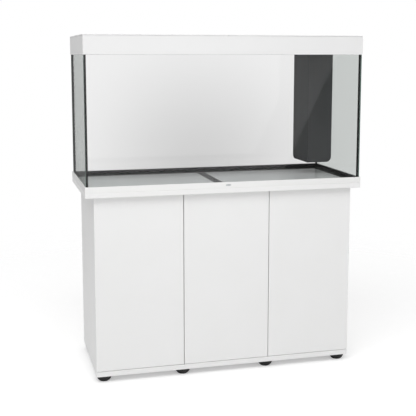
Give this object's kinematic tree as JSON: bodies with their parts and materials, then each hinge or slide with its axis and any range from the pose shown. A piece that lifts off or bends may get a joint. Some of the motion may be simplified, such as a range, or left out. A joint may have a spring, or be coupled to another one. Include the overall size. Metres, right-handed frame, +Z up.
{
  "type": "aquarium on stand",
  "caption": "Rectangular glass aquarium with a white hood and a corner filter, on a white handleless cabinet with feet.",
  "frame": {"origin": "on the floor under the middle of the base trim", "axes": "+X to the right along the length, +Y to the back, +Z up; the doors face -Y"},
  "size_m": [1.21, 0.51, 1.455],
  "materials": {
    "white_board": "white melamine-faced board",
    "white_plastic": "satin white ABS",
    "trim_plastic": "satin white PVC",
    "black_frame": "satin black ABS",
    "glass": "clear float glass",
    "silicone": "black silicone sealant",
    "badge_metal": "brushed",
    "filter_plastic": "semi-gloss black plastic",
    "pump_plastic": "satin black plastic",
    "impeller_plastic": "moulded grey plastic",
    "heater_glass": "borosilicate glass",
    "knob_plastic": "moulded grey plastic",
    "sponge": "open-cell filter foam",
    "foot_plastic": "moulded black plastic",
    "steel": "zinc plated",
    "bush_plastic": "natural nylon",
    "dowel_wood": "beech",
    "latch_plastic": "moulded grey plastic",
    "diffuser": "clear acrylic",
    "led_board": "white solder mask"
  },
  "bodies": {
    "tank_and_cabinet": {"back_panel_left": "white_board", "back_panel_middle": "white_board", "back_panel_right": "white_board", "badge": "badge_metal", "base_frame": "black_frame", "base_trim": "trim_plastic", "bottom_board": "white_board", "carcass_dowels": "dowel_wood", "corner_seams": "silicone", "door_pins": "steel", "filter_basket": "pump_plastic", "filter_box": "filter_plastic", "filter_pads": "silicone", "filter_sponge": "sponge", "flap_pins": "steel", "floor_pane": "glass", "floor_seams": "silicone", "foot_screws": "steel", "front_feet": "foot_plastic", "front_pane": "glass", "heater_cap": "pump_plastic", "heater_tube": "heater_glass", "hood_ledge": "white_plastic", "hood_rails": "white_plastic", "hood_skirt": "white_plastic", "latch_bodies": "latch_plastic", "led_strips": "led_board", "light_diffuser": "diffuser", "light_end_caps": "white_plastic", "light_housing": "white_plastic", "partition_left": "white_board", "partition_right": "white_board", "pump_body": "pump_plastic", "rear_feet": "foot_plastic", "rear_pane": "glass", "shelf_left": "white_board", "shelf_pins": "steel", "shelf_right": "white_board", "side_pane_left": "glass", "side_pane_right": "glass", "side_panel_left": "white_board", "side_panel_right": "white_board", "top_board": "white_board"},
    "door_left": {"door_left": "white_board", "door_bushes_left": "bush_plastic"},
    "plunger_left": {"latch_plunger_left": "latch_plastic"},
    "door_middle": {"door_middle": "white_board", "door_bushes_middle": "bush_plastic"},
    "plunger_middle": {"latch_plunger_middle": "latch_plastic"},
    "door_right": {"door_right": "white_board", "door_bushes_right": "bush_plastic"},
    "plunger_right": {"latch_plunger_right": "latch_plastic"},
    "front_flap_left": {"front_flap_left": "white_plastic"},
    "front_flap_right": {"front_flap_right": "white_plastic"},
    "rear_flap_left": {"rear_flap_left": "white_plastic"},
    "rear_flap_right": {"rear_flap_right": "white_plastic"},
    "impeller": {"impeller": "impeller_plastic"},
    "nozzle": {"outlet_nozzle": "pump_plastic"},
    "heater_knob": {"heater_knob": "knob_plastic"}
  },
  "joints": [
    {"name": "door_left_hinge", "type": "hinge", "parent": "tank_and_cabinet", "child": "door_left", "pos_m": [-0.5615, -0.228, 0.42], "axis": [0, 0, -1], "range_deg": [0, 90]},
    {"name": "door_middle_hinge", "type": "hinge", "parent": "tank_and_cabinet", "child": "door_middle", "pos_m": [-0.18217, -0.228, 0.42], "axis": [0, 0, -1], "range_deg": [0, 90]},
    {"name": "door_right_hinge", "type": "hinge", "parent": "tank_and_cabinet", "child": "door_right", "pos_m": [0.5615, -0.228, 0.42], "axis": [0, 0, 1], "range_deg": [0, 90]},
    {"name": "plunger_left_press", "type": "slide", "parent": "tank_and_cabinet", "child": "plunger_left", "axis": [0, 1, 0], "range_m": [0, 0.003], "stiffness_N_per_m": 250, "springref_m": -0.002},
    {"name": "plunger_middle_press", "type": "slide", "parent": "tank_and_cabinet", "child": "plunger_middle", "axis": [0, 1, 0], "range_m": [0, 0.003], "stiffness_N_per_m": 250, "springref_m": -0.002},
    {"name": "plunger_right_press", "type": "slide", "parent": "tank_and_cabinet", "child": "plunger_right", "axis": [0, 1, 0], "range_m": [0, 0.003], "stiffness_N_per_m": 250, "springref_m": -0.002},
    {"name": "front_flap_left_hinge", "type": "hinge", "parent": "tank_and_cabinet", "child": "front_flap_left", "pos_m": [-0.3, -0.076, 1.4505], "axis": [-1, 0, 0], "range_deg": [0, 85]},
    {"name": "front_flap_right_hinge", "type": "hinge", "parent": "tank_and_cabinet", "child": "front_flap_right", "pos_m": [0.3, -0.076, 1.4505], "axis": [-1, 0, 0], "range_deg": [0, 85]},
    {"name": "rear_flap_left_hinge", "type": "hinge", "parent": "tank_and_cabinet", "child": "rear_flap_left", "pos_m": [-0.3, 0.076, 1.4505], "axis": [1, 0, 0], "range_deg": [0, 85]},
    {"name": "rear_flap_right_hinge", "type": "hinge", "parent": "tank_and_cabinet", "child": "rear_flap_right", "pos_m": [0.3, 0.076, 1.4505], "axis": [1, 0, 0], "range_deg": [0, 85]},
    {"name": "impeller_spin", "type": "hinge", "parent": "tank_and_cabinet", "child": "impeller", "pos_m": [0.513, 0.2, 1.391], "axis": [1, 0, 0], "continuous": true},
    {"name": "nozzle_swivel", "type": "hinge", "parent": "tank_and_cabinet", "child": "nozzle", "pos_m": [0.461, 0.2, 1.391], "axis": [1, 0, 0], "range_deg": [-30, 45]},
    {"name": "heater_knob_turn", "type": "hinge", "parent": "tank_and_cabinet", "child": "heater_knob", "pos_m": [0.488, 0.168, 1.396], "axis": [0, 0, 1], "range_deg": [0, 270]}
  ]
}
